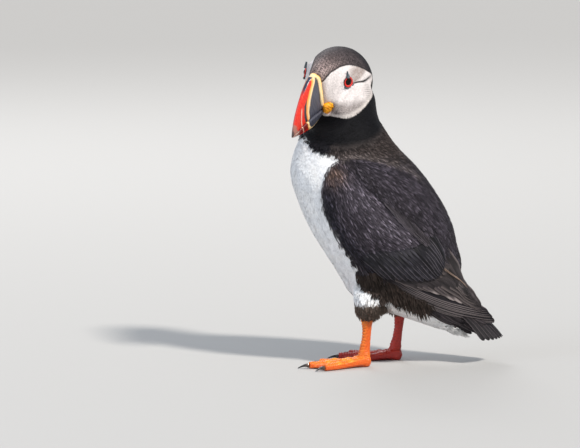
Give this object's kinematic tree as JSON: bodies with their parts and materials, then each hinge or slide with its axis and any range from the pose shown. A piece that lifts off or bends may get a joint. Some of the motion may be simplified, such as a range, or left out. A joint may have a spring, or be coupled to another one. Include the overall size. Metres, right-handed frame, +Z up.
{
  "type": "atlantic puffin",
  "caption": "Life-size still model of an Atlantic puffin standing on webbed feet, wings folded, head turned over its left side.",
  "frame": {"origin": "middle of the object's box, on the floor under the feet", "axes": "+X the way the body faces, +Y the bird's left side, +Z up"},
  "size_m": [0.1528, 0.093, 0.2229],
  "materials": {
    "dark_plumage": "charcoal feathers with paler brown edges",
    "white_plumage": "soft white feathers",
    "thigh_plumage": "short grey-brown feathers",
    "leg_skin": "scaly orange skin, slightly glossy",
    "claw": "dark horn",
    "bill": "grooved red and slate horn, satin",
    "cere": "pale orange bare skin",
    "rosette": "wrinkled yellow-orange skin",
    "eye": "wet dark eye",
    "eye_ring": "bare red eyelid",
    "eye_plate": "blue-grey horn, satin"
  },
  "bodies": {
    "root": {"head": "dark_plumage", "neck": "dark_plumage", "trunk": "white_plumage", "wing_left": "dark_plumage", "wing_right": "dark_plumage", "primaries_left": "dark_plumage", "primaries_right": "dark_plumage", "tail": "dark_plumage", "thigh_left": "thigh_plumage", "thigh_right": "thigh_plumage", "tarsus_left": "leg_skin", "tarsus_right": "leg_skin", "foot_left": "leg_skin", "foot_right": "leg_skin", "claw_left_inner": "claw", "claw_left_middle": "claw", "claw_left_outer": "claw", "claw_right_inner": "claw", "claw_right_middle": "claw", "claw_right_outer": "claw", "bill_upper": "bill", "bill_lower": "bill", "cere": "cere", "rosette_left": "rosette", "rosette_right": "rosette", "eye_left": "eye", "eye_right": "eye", "eye_ring_left": "eye_ring", "eye_ring_right": "eye_ring", "brow_plate_left": "eye_plate", "brow_plate_right": "eye_plate", "eye_bar_left": "eye_plate", "eye_bar_right": "eye_plate"}
  },
  "joints": []
}
